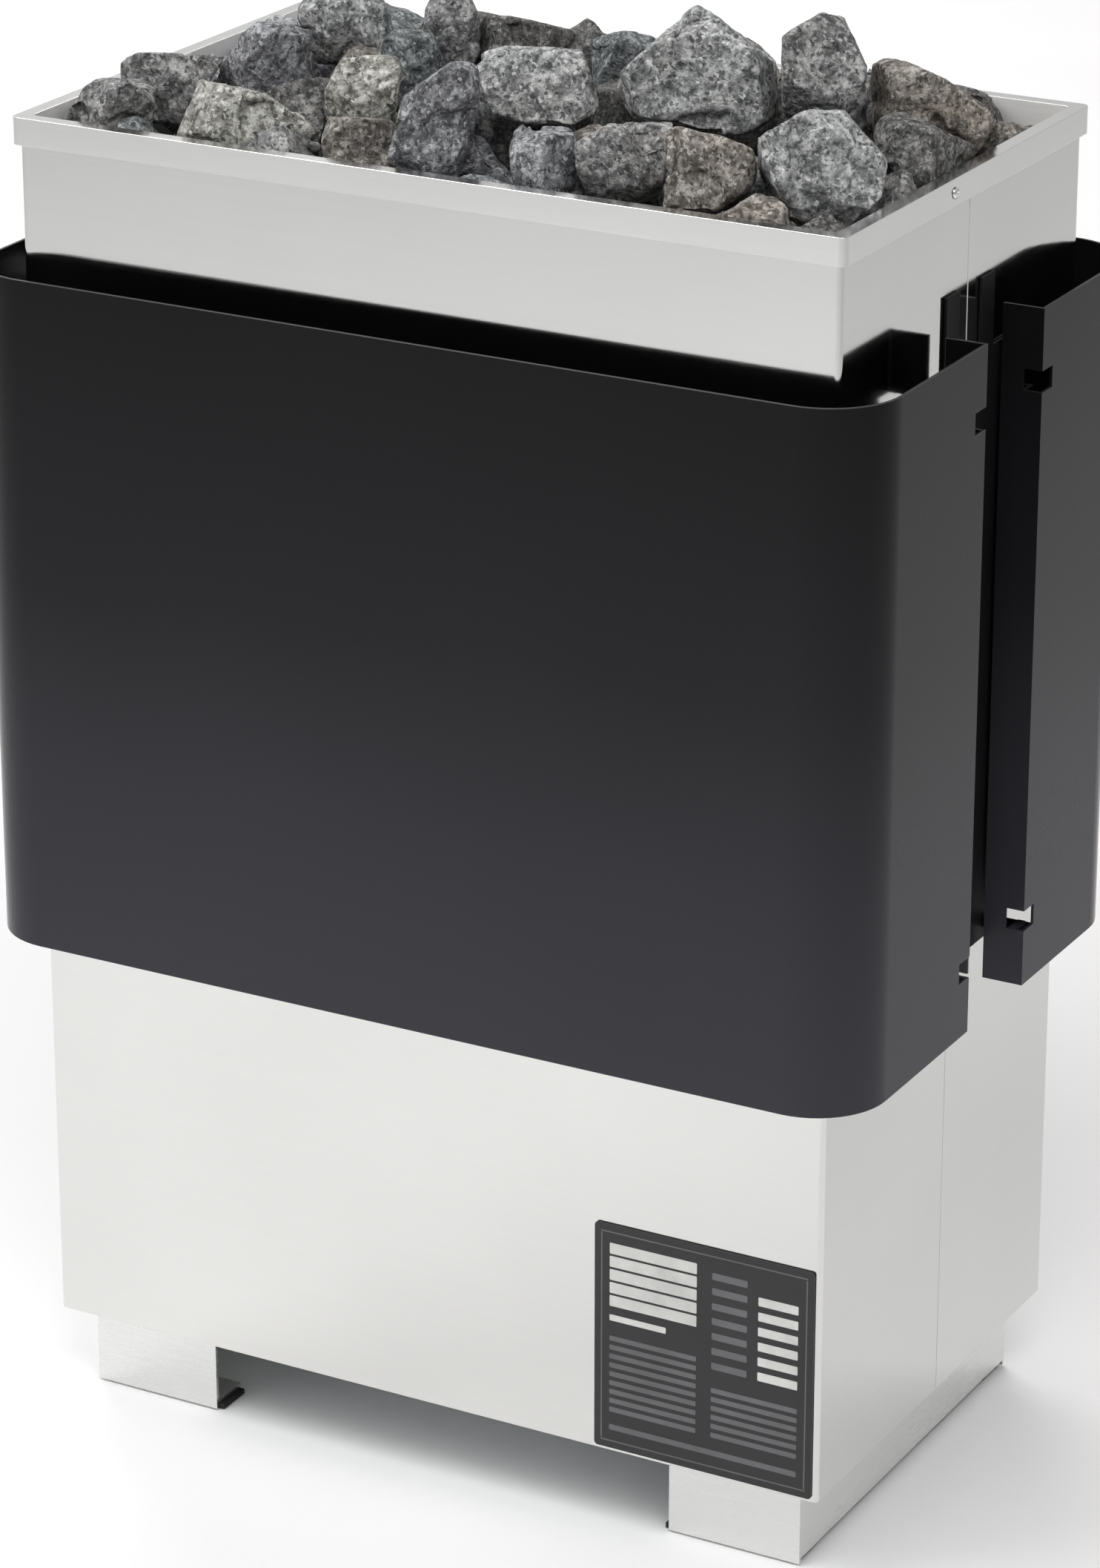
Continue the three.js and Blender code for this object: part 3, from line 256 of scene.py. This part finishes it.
STONES = {
    "grey": stone("stone_grey", (0.070, 0.070, 0.072), (0.232, 0.232, 0.232), (0.507, 0.507, 0.499), (0.80, 0.78, 0.76), 1.0, 0.11),
    "blue": stone("stone_blue", (0.070, 0.072, 0.076), (0.240, 0.243, 0.255), (0.521, 0.532, 0.547), (0.80, 0.78, 0.80), 1.0, 0.37),
    "teal": stone("stone_teal", (0.051, 0.056, 0.057), (0.169, 0.183, 0.186), (0.408, 0.429, 0.429), (0.74, 0.76, 0.76), 1.1, 0.53),
    "beige": stone("stone_beige", (0.099, 0.097, 0.087), (0.331, 0.327, 0.298), (0.640, 0.640, 0.605), (0.82, 0.78, 0.72), 0.9, 0.71),
    "brown": stone("stone_brown", (0.070, 0.064, 0.057), (0.232, 0.215, 0.195), (0.507, 0.479, 0.443), (0.78, 0.69, 0.62), 0.95, 0.93),
    "light": stone("stone_light", (0.092, 0.096, 0.097), (0.317, 0.323, 0.323), (0.640, 0.640, 0.640), (0.84, 0.82, 0.80), 0.95, 1.17),
    "dark": stone("stone_dark", (0.040, 0.040, 0.040), (0.134, 0.132, 0.130), (0.338, 0.336, 0.323), (0.76, 0.72, 0.68), 1.1, 1.31),
}


# ------------------------------------------------------------------ mesh helpers
def link(name, mesh):
    o = bpy.data.objects.new(name, mesh)
    SCENE.collection.objects.link(o)
    return o


def finish_piece(o, body, replaced):
    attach(o, body)
    if replaced:
        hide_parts(*([replaced] if isinstance(replaced, str) else replaced))
    return o


def refined(node, name, mats, width=0.0004, segs=2, angle=28, edge_highlight_mat=False, body="root", inner=-1):
    """A node's shape with clean faces and rounded sheet edges."""
    bm = bmesh.new()
    bm.from_mesh(NODES[node].data)
    bmesh.ops.remove_doubles(bm, verts=bm.verts, dist=3e-6)
    bmesh.ops.dissolve_limit(bm, angle_limit=math.radians(0.6), verts=bm.verts, edges=bm.edges, use_dissolve_boundaries=False)
    for f in bm.faces:
        f.smooth = True
        c, q = f.calc_center_median(), f.normal
        f.material_index = inner if inner > 0 and q.x * c.x + q.y * c.y < -1e-4 else 0
    me = bpy.data.meshes.new(name)
    bm.to_mesh(me)
    bm.free()
    for m in mats:
        me.materials.append(m)
    o = link(name, me)
    b = o.modifiers.new("edge", "BEVEL")
    b.width = width
    b.segments = segs
    b.limit_method = "ANGLE"
    b.angle_limit = math.radians(angle)
    b.use_clamp_overlap = True
    # material 1 on the bevels: for the panels a lighter colour painted as an edge highlight
    b.material = 1 if edge_highlight_mat else -1
    w = o.modifiers.new("flat", "WEIGHTED_NORMAL")
    w.mode = "FACE_AREA"
    w.weight = 100
    w.keep_sharp = True
    return finish_piece(o, body, node)


# ------------------------------------------------------------------------ camera
YAW, PITCH = math.radians(28.78), math.radians(21.48)
right = Vector((math.cos(YAW), math.sin(YAW), 0))
forward = Vector((-math.sin(YAW) * math.cos(PITCH), math.cos(YAW) * math.cos(PITCH), -math.sin(PITCH)))
up = right.cross(forward)
cam_data = bpy.data.cameras.new("camera")
cam_data.sensor_width = 36.0
cam_data.lens = 125.88
cam_data.clip_end = 60.0
cam = bpy.data.objects.new("camera", cam_data)
SCENE.collection.objects.link(cam)
eye = Vector((1.26312, -2.30178, 1.37289))
cam.matrix_world = Matrix(((right.x, up.x, -forward.x, eye.x), (right.y, up.y, -forward.y, eye.y), (right.z, up.z, -forward.z, eye.z), (0, 0, 0, 1)))
SCENE.camera = cam

# ------------------------------------------------------------- casing and panels
# the panels' bevelled edges take the lighter edge material, a painted edge highlight
refined("front_panel", "front_cover", [M_PANEL, M_PANEL_EDGE_HIGHLIGHT], 0.0004, 2, 28, True, "front_panel")
refined("rear_panel", "rear_cover", [M_PANEL, M_PANEL_EDGE_HIGHLIGHT], 0.0004, 2, 28, True, "rear_panel")
refined("front_shell", "casing_front", [M_POLISHED, M_INNER], 0.0003, 2, inner=1)
refined("rear_shell", "casing_rear", [M_POLISHED, M_INNER], 0.0003, 2, inner=1)
refined("rim_frame", "rim", [M_RIM, M_INNER], 0.0008, 3, inner=1)
refined("left_foot", "foot_left", [M_FOOT], 0.0005, 2)
refined("right_foot", "foot_right", [M_FOOT], 0.0005, 2)
for side in ("front_right", "front_left", "rear_right", "rear_left"):
    refined(f"foot_pad_{side}", f"pad_{side}", [M_RUBBER], 0.0005, 2)
    refined(f"hook_rail_{side}", f"rail_{side}", [M_RAIL], 0.0002, 2)
    refined(f"foot_screw_{side}", f"screw_{side}", [M_ZINC], 0.0003, 2)
refined("base_tray", "tray", [M_ZINC], 0.0003, 2)

for n, m in (("element_plate", M_ZINC), ("inner_duct", M_ZINC), ("terminal_bracket", M_ZINC), ("stone_grate", M_HEAT),
             ("heating_element_1", M_HEAT), ("heating_element_2", M_HEAT), ("heating_element_3", M_HEAT),
             ("terminal_block", M_CERAMIC), ("lead_phase_1", M_SLEEVE), ("lead_phase_2", M_SLEEVE), ("lead_phase_3", M_SLEEVE),
             ("star_bridge", M_BRASS), ("earth_stud", M_BRASS), ("gland_nut", M_GLAND)):
    o = NODES[n]
    o.data.materials.clear()
    o.data.materials.append(m)


# rivets: domed heads with a drawn centre
def rivet(node, name, sx):
    lo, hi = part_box(node)
    y, z = 0.5 * (lo.y + hi.y), 0.5 * (lo.z + hi.z)
    base = 0.2272
    profile = [(0.0, 0.00055), (0.0006, 0.00055), (0.00075, 0.0012), (0.0012, 0.00125), (0.0020, 0.0010), (0.0026, 0.0006), (0.0029, 0.0002), (0.00295, 0.0), (0.0014, 0.0), (0.0014, -0.0042), (0.0, -0.0042)]
    n = 36
    bm = bmesh.new()
    rings = []
    for r, h in profile:
        if r == 0:
            rings.append([bm.verts.new((sx * (base + h), y, z))])
        else:
            rings.append([bm.verts.new((sx * (base + h), y + r * math.cos(2 * math.pi * k / n), z + r * math.sin(2 * math.pi * k / n))) for k in range(n)])
    for a, b in zip(rings, rings[1:]):
        for k in range(n):
            q = (k + 1) % n
            if len(a) == 1:
                bm.faces.new((a[0], b[q], b[k]))
            elif len(b) == 1:
                bm.faces.new((a[k], a[q], b[0]))
            else:
                bm.faces.new((a[k], a[q], b[q], b[k]))
    bmesh.ops.recalc_face_normals(bm, faces=bm.faces)
    for f in bm.faces:
        f.smooth = True
    me = bpy.data.meshes.new(name)
    bm.to_mesh(me)
    bm.free()
    me.set_sharp_from_angle(angle=math.radians(40))
    me.materials.append(M_RIM)
    finish_piece(link(name, me), "root", node)


rivet("rim_rivet_right", "rivet_right", 1)
rivet("rim_rivet_left", "rivet_left", -1)


# cable inlet: six-sided body, ribbed cap, soft ring in the mouth
def gland():
    lo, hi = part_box("cable_gland")
    cx, cz, yb, yo = 0.5 * (lo.x + hi.x), 0.5 * (lo.z + hi.z), lo.y, hi.y
    face = yo - 18 * MM
    n = 96
    bm = bmesh.new()

    def shell(profile, mat):
        rings = []
        for y, r in profile:
            ring = []
            for k in range(n):
                a = 2 * math.pi * k / n
                ring.append(bm.verts.new((cx + r(a) * math.cos(a), y, cz + r(a) * math.sin(a))))
            rings.append(ring)
        for i in range(len(rings)):
            p, q = rings[i], rings[(i + 1) % len(rings)]
            for k in range(n):
                j = (k + 1) % n
                f = bm.faces.new((p[k], p[j], q[j], q[k]))
                f.material_index = mat
                f.smooth = True

    def rnd(r):
        return lambda a: r * MM

    def hexa(r, cap):
        return lambda a: min(cap, r * math.cos(math.pi / 6) / math.cos((a % (math.pi / 3)) - math.pi / 6)) * MM

    def rib(r, depth):
        return lambda a: (r - depth * (0.5 - 0.5 * math.cos(24 * a)) ** 2) * MM

    y1 = face + 0.1 * MM
    shell([(yb, rnd(8.0)), (yb, rnd(11.8)), (yb + 0.6 * MM, rnd(12.3)), (y1, rnd(12.3)), (y1, hexa(16.8, 16.2)),
           (y1 + 0.5 * MM, hexa(16.9, 16.9)), (face + 7.2 * MM, hexa(16.9, 16.9)), (face + 7.9 * MM, hexa(16.9, 15.6)),
           (face + 7.9 * MM, rnd(13.4)), (face + 8.5 * MM, rnd(13.4)), (face + 8.7 * MM, rib(13.6, 0.5)),
           (face + 12.0 * MM, rib(13.1, 0.7)), (face + 15.6 * MM, rib(12.3, 0.6)), (face + 17.2 * MM, rnd(11.2)),
           (face + 17.8 * MM, rnd(10.2)), (face + 17.8 * MM, rnd(9.0)), (face + 17.0 * MM, rnd(8.3)), (face + 15.0 * MM, rnd(8.0))], 0)
    shell([(face + 8.0 * MM, rnd(6.2)), (face + 8.0 * MM, rnd(7.97)), (face + 16.4 * MM, rnd(7.97)), (face + 16.9 * MM, rnd(7.5)), (face + 16.4 * MM, rnd(6.8)), (face + 15.2 * MM, rnd(6.2))], 1)
    bmesh.ops.recalc_face_normals(bm, faces=bm.faces)
    me = bpy.data.meshes.new("gland")
    bm.to_mesh(me)
    bm.free()
    me.set_sharp_from_angle(angle=math.radians(32))
    me.materials.append(M_GLAND)
    me.materials.append(M_SEAL)
    finish_piece(link("gland", me), "root", "cable_gland")


gland()


# plate on the lower front: pale and grey fields in a printed frame
def plate():
    lo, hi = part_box("data_plate")
    x0, x1, z0, z1, yf, yb = lo.x, hi.x, lo.z, hi.z, lo.y, hi.y
    bm = bmesh.new()

    def slab(ax, bx, az, bz, ya, yb_, mat, r=0.0012):
        n, pts = 5, []
        for cx, cz, a0 in ((bx - r, bz - r, 0), (ax + r, bz - r, 90), (ax + r, az + r, 180), (bx - r, az + r, 270)):
            for k in range(n + 1):
                a = math.radians(a0 + 90 * k / n)
                pts.append((cx + r * math.cos(a), cz + r * math.sin(a)))
        f = [bm.verts.new((p[0], ya, p[1])) for p in pts]
        k2 = [bm.verts.new((p[0], yb_, p[1])) for p in pts]
        faces = [bm.faces.new(f), bm.faces.new(k2[::-1])]
        m = len(pts)
        for i in range(m):
            j = (i + 1) % m
            faces.append(bm.faces.new((f[j], f[i], k2[i], k2[j])))
        for q in faces:
            q.material_index = mat

    slab(x0, x1, z0, z1, yf + 0.00012, yb, 0, 0.002)
    w, h = x1 - x0, z1 - z0
    e = 0.00006
    ink = yf + 0.00012
    # frame line, four strips
    t = 0.0007
    for a, b, c, d in ((0.03, 0.97, 0.03, 0.03 + t / h), (0.03, 0.97, 0.97 - t / h, 0.97), (0.03, 0.03 + t / w, 0.04, 0.96), (0.97 - t / w, 0.97, 0.04, 0.96)):
        slab(x0 + a * w, x0 + b * w, z0 + c * h, z0 + d * h, ink - e, ink + 0.00005, 2, 0.0001)
    # pale block in strips, two columns of bars, close rules below
    fields = [(0.07, 0.47, 0.640 + 0.058 * k, 0.688 + 0.058 * k, 1) for k in range(5)]
    fields += [(0.07, 0.33, 0.575, 0.602, 1)]
    fields += [(0.54, 0.70, 0.470 + 0.066 * k, 0.500 + 0.066 * k, 2) for k in range(7)]
    fields += [(0.75, 0.93, 0.470 + 0.066 * k, 0.508 + 0.066 * k, 1) for k in range(6)]
    fields += [(0.07, 0.47, 0.165 + 0.040 * k, 0.187 + 0.040 * k, 2) for k in range(9)]
    fields += [(0.54, 0.93, 0.165 + 0.040 * k, 0.187 + 0.040 * k, 2) for k in range(6)]
    fields += [(0.07, 0.93, 0.083, 0.108, 2)]
    for a, b, c, d, mat in fields:
        slab(x0 + a * w, x0 + b * w, z0 + c * h, z0 + d * h, ink - e, ink + 0.00005, mat, min(0.0005, 0.3 * min((b - a) * w, (d - c) * h)))
    bmesh.ops.recalc_face_normals(bm, faces=bm.faces)
    me = bpy.data.meshes.new("plate")
    bm.to_mesh(me)
    bm.free()
    for m in (M_PLATE, M_PLATE_FIELD, M_PLATE_GREY):
        me.materials.append(m)
    finish_piece(link("plate", me), "root", "data_plate")


plate()


# ------------------------------------------------------------------------ stones
def hull(points):
    bm = bmesh.new()
    for p in points:
        bm.verts.new(p)
    r = bmesh.ops.convex_hull(bm, input=bm.verts)
    loose = [v for v in bm.verts if not v.link_faces]
    bmesh.ops.delete(bm, geom=loose, context="VERTS")
    bmesh.ops.recalc_face_normals(bm, faces=bm.faces)
    me = bpy.data.meshes.new("hull")
    bm.to_mesh(me)
    bm.free()
    return me


def remesh(me, voxel):
    o = link("remesh", me)
    r = o.modifiers.new("r", "REMESH")
    r.mode = "VOXEL"
    r.voxel_size = voxel
    deps = bpy.context.evaluated_depsgraph_get()
    out = bpy.data.meshes.new_from_object(o.evaluated_get(deps))
    bpy.data.objects.remove(o)
    bpy.data.meshes.remove(me)
    return out


def rock(points, voxel, seed, chips=3, rough=1.0, facets=12):
    """A broken stone: the solid's flat faces, chipped corners, rounded arrises, pitted skin."""
    points = [Vector(p) for p in points]
    me = remesh(hull(points), voxel)
    n = len(me.vertices)
    co = np.empty(n * 3, np.float32)
    me.vertices.foreach_get("co", co)
    co = co.reshape(-1, 3).astype(np.float64)
    ed = np.empty(len(me.edges) * 2, np.int32)
    me.edges.foreach_get("vertices", ed)
    ed = ed.reshape(-1, 2)
    deg = np.bincount(ed.ravel(), minlength=n).astype(np.float64)[:, None]
    centre = co.mean(0)
    rng = np.random.RandomState(seed)
    for _ in range(chips):
        d = rng.normal(size=3)
        d /= np.linalg.norm(d)
        s = (co - centre) @ d
        cut = s.max() * rng.uniform(0.84, 0.96)
        co -= np.outer(np.maximum(0, s - cut), d)

    def relax(p, k, w=0.5):
        for _ in range(k):
            acc = np.zeros_like(p)
            np.add.at(acc, ed[:, 0], p[ed[:, 1]])
            np.add.at(acc, ed[:, 1], p[ed[:, 0]])
            p = (1 - w) * p + w * acc / deg
        return p

    def normals(p):
        me.vertices.foreach_set("co", p.astype(np.float32).ravel())
        me.update()
        q = np.empty(n * 3, np.float32)
        me.vertices.foreach_get("normal", q)
        return q.reshape(-1, 3).astype(np.float64)

    # broken faces: the skin falls into facets, each a tilted plane of its own
    for count, tilt, deep in ((facets, 0.26, 0.0045), (facets * 5, 0.30, 0.0016)):
        nor = normals(relax(co, 4))
        pick = rng.choice(n, size=min(count, n), replace=False)
        seeds, ns = co[pick], nor[pick]
        near = np.argmin(((co[:, None, :] - seeds[None, :, :]) ** 2).sum(2), axis=1)
        fn = ns + rng.normal(size=ns.shape) * tilt
        fn /= np.linalg.norm(fn, axis=1)[:, None]
        level = -rng.uniform(0.0, 0.35, size=len(pick)) * deep
        f = fn[near]
        den = np.maximum((nor * f).sum(1), 0.45)
        push = (((seeds[near] - co) * f).sum(1) + level[near]) / den
        co = co + nor * np.clip(push, -deep, 0.0)[:, None]
    co = relax(co, 1, 0.40)
    nor = normals(co)
    off = Vector((seed * 0.371, seed * 0.173, seed * 0.719))
    h = np.empty(n)
    for i in range(n):
        p = Vector(co[i])
        a = noise.fractal(p * 42 + off, 0.9, 2.1, 4)
        b = noise.ridged_multi_fractal(p * 75 + off, 0.9, 2.2, 3, 0.9, 1.6)
        c = noise.noise(p * 330 + off)
        h[i] = 0.0005 * a - 0.0004 * (b - 0.9) + 0.00030 * c
    h = np.clip(h * rough, -0.0032, 0.0012) - 0.0006
    co = co + nor * h[:, None]
    me.vertices.foreach_set("co", co.astype(np.float32).ravel())
    for p in me.polygons:
        p.use_smooth = True
    me.update()
    return me


TONES = {1: "grey", 2: "beige", 3: "brown", 4: "blue", 5: "blue", 6: "grey", 7: "brown", 8: "light", 9: "grey", 10: "blue", 11: "beige",
         12: "teal", 13: "light", 14: "light", 15: "grey", 16: "brown", 17: "dark", 18: "light", 19: "grey", 20: "dark", 21: "teal"}
VOXEL = 0.0016
for i, tone in TONES.items():
    node = f"stone_{i:02d}"
    me = rock([v.co for v in NODES[node].data.vertices], VOXEL, 100 + i)
    me.materials.append(STONES[tone])
    finish_piece(link(f"rock_{i:02d}", me), "root", node)


# the lower stones: every lump of the bed becomes a stone of its own, over a packed core
def bed():
    src = NODES["stone_bed"].data
    bm = bmesh.new()
    bm.from_mesh(src)
    bmesh.ops.remove_doubles(bm, verts=bm.verts, dist=3e-6)
    level = 0.6556
    bmesh.ops.bisect_plane(bm, geom=list(bm.verts) + list(bm.edges) + list(bm.faces), plane_co=(0, 0, level), plane_no=(0, 0, 1), clear_inner=True)
    left = set(bm.verts)
    islands = []
    while left:
        stack = [min(left, key=lambda v: v.index if v.index >= 0 else 0)]
        left.discard(stack[0])
        group = []
        while stack:
            v = stack.pop()
            group.append(v.co.copy())
            for e in v.link_edges:
                w = e.other_vert(v)
                if w in left:
                    left.discard(w)
                    stack.append(w)
        islands.append(sorted(group, key=lambda p: (round(p.x, 6), round(p.y, 6), round(p.z, 6))))
    bm.free()
    islands.sort(key=lambda g: (round(sum(p.x for p in g) / len(g), 4), round(sum(p.y for p in g) / len(g), 4)))
    # tones weighted to dark for the lower stones: painted shade for the deep shadow in the gaps between the upper
    # stones
    bed_tones_with_painted_shade = ["dark", "teal", "brown", "dark", "blue", "dark", "grey", "dark", "teal", "brown"]
    pieces = []
    for k, g in enumerate(islands):
        if len(g) < 6:
            continue
        c = sum(g, Vector()) / len(g)
        low = [Vector((c.x + 0.72 * (p.x - c.x), c.y + 0.72 * (p.y - c.y), level - 0.016)) for p in g if p.z < level + 0.001]
        me = rock(list(g) + low, VOXEL * 1.25, 500 + k, 3, 1.1, 10)
        pieces.append((me, bed_tones_with_painted_shade[(k * 7) % len(bed_tones_with_painted_shade)]))
    # small stones in the gaps between them
    lo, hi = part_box("stone_bed")
    rng = np.random.RandomState(5)
    for k in range(90):
        x = rng.uniform(lo.x + 0.014, hi.x - 0.014)
        y = rng.uniform(lo.y + 0.012, hi.y - 0.012)
        r = rng.uniform(0.009, 0.015)
        z = level - 0.004 + rng.uniform(-0.003, 0.008)
        pts = []
        for _ in range(16):
            d = Vector(rng.normal(size=3)).normalized()
            pts.append(Vector((x, y, z)) + Vector((d.x * r * 1.25, d.y * r * 1.1, d.z * r * 0.85)))
        me = rock(pts, 0.0022, 900 + k, 1, 0.6, 6)
        pieces.append((me, bed_tones_with_painted_shade[(k * 3 + 1) % len(bed_tones_with_painted_shade)]))
    # packed core below
    bmc = bmesh.new()
    bmesh.ops.create_cube(bmc, size=1.0)
    for v in bmc.verts:
        v.co = Vector((v.co.x * 2 * 0.2055, v.co.y * 2 * 0.1235, 0.5872 if v.co.z < 0 else 0.6505))
    mec = bpy.data.meshes.new("core")
    bmc.to_mesh(mec)
    bmc.free()
    mec = remesh(mec, 0.005)
    for v in mec.vertices:
        p = v.co
        d = noise.voronoi(p * 30)[0]
        v.co = p + Vector((0, 0, -0.010 * d[0])) if p.z > 0.648 else p
    for p in mec.polygons:
        p.use_smooth = True
    # the packed core in the dark tone: painted shade for the deep gaps
    pieces.append((mec, "dark"))
    names = list(STONES)
    out = bmesh.new()
    for me, tone in pieces:
        start = len(out.faces)
        out.from_mesh(me)
        out.faces.ensure_lookup_table()
        for f in out.faces[start:]:
            f.material_index = names.index(tone)
        bpy.data.meshes.remove(me)
    res = bpy.data.meshes.new("bed_rocks")
    out.to_mesh(res)
    out.free()
    for n in names:
        res.materials.append(STONES[n])
    finish_piece(link("bed_rocks", res), "root", "stone_bed")


bed()

# ------------------------------------------------------------------------- stage
floor_m, nt, b = material("floor")
v = coords(nt)
mott = noise_tex(nt, v, 3.0, 4.0, 0.5).outputs["Fac"]
nt.links.new(ramp(nt, mott, [(0.3, (0.92, 0.92, 0.92)), (0.7, (0.94, 0.94, 0.94))]), b.inputs["Base Color"])
nt.links.new(remap(nt, mott, 0.3, 0.7, 0.62, 0.72), b.inputs["Roughness"])
b.inputs["Specular IOR Level"].default_value = 0.2
me = bpy.data.meshes.new("floor")
me.from_pydata([(-40, -40, 0), (40, -40, 0), (40, 40, 0), (-40, 40, 0)], [], [(0, 1, 2, 3)])
me.materials.append(floor_m)
floor = link("floor", me)
floor.location.z = -0.0004

world = bpy.data.worlds.new("world")
SCENE.world = world
world.use_nodes = True
wt = world.node_tree
wt.nodes.clear()
wo = wt.nodes.new("ShaderNodeOutputWorld")
wc = wt.nodes.new("ShaderNodeTexCoord")
ws = add(wt, "ShaderNodeSeparateXYZ", {"Vector": wc.outputs["Generated"]})
sky = ramp(wt, ws.outputs["Z"], [(0.0, (0.42, 0.42, 0.42)), (0.10, (0.62, 0.62, 0.62)), (0.22, (1.0, 1.0, 1.0)), (0.50, (0.92, 0.92, 0.92)), (0.75, (0.45, 0.45, 0.45)), (1.0, (0.36, 0.36, 0.36))])
bg = add(wt, "ShaderNodeBackground", {"Color": sky, "Strength": 0.60})
wt.links.new(bg.outputs[0], wo.inputs[0])


def area(name, loc, target, size, power, colour=(1, 1, 1)):
    l = bpy.data.lights.new(name, "AREA")
    l.shape = "RECTANGLE"
    l.size, l.size_y = size
    l.energy = power
    l.color = colour
    o = bpy.data.objects.new(name, l)
    o.location = loc
    o.rotation_euler = (Vector(target) - Vector(loc)).to_track_quat("-Z", "Y").to_euler()
    SCENE.collection.objects.link(o)
    return o


area("key", (-0.75, -0.75, 2.05), (-0.1, -0.1, 0.3), (0.9, 0.9), 13)
area("front", (-0.9, -2.0, 2.4), (-0.8, -1.6, 0.0), (1.6, 1.6), 19)
area("right", (1.0, -1.1, 2.2), (0.6, -0.4, 0.0), (1.3, 1.3), 24)
area("back", (-2.0, 2.5, 2.7), (-1.4, 2.0, 0.0), (2.4, 2.4), 72)

SCENE.view_settings.view_transform = "Standard"
SCENE.view_settings.look = "None"
SCENE.view_settings.exposure = 0.0
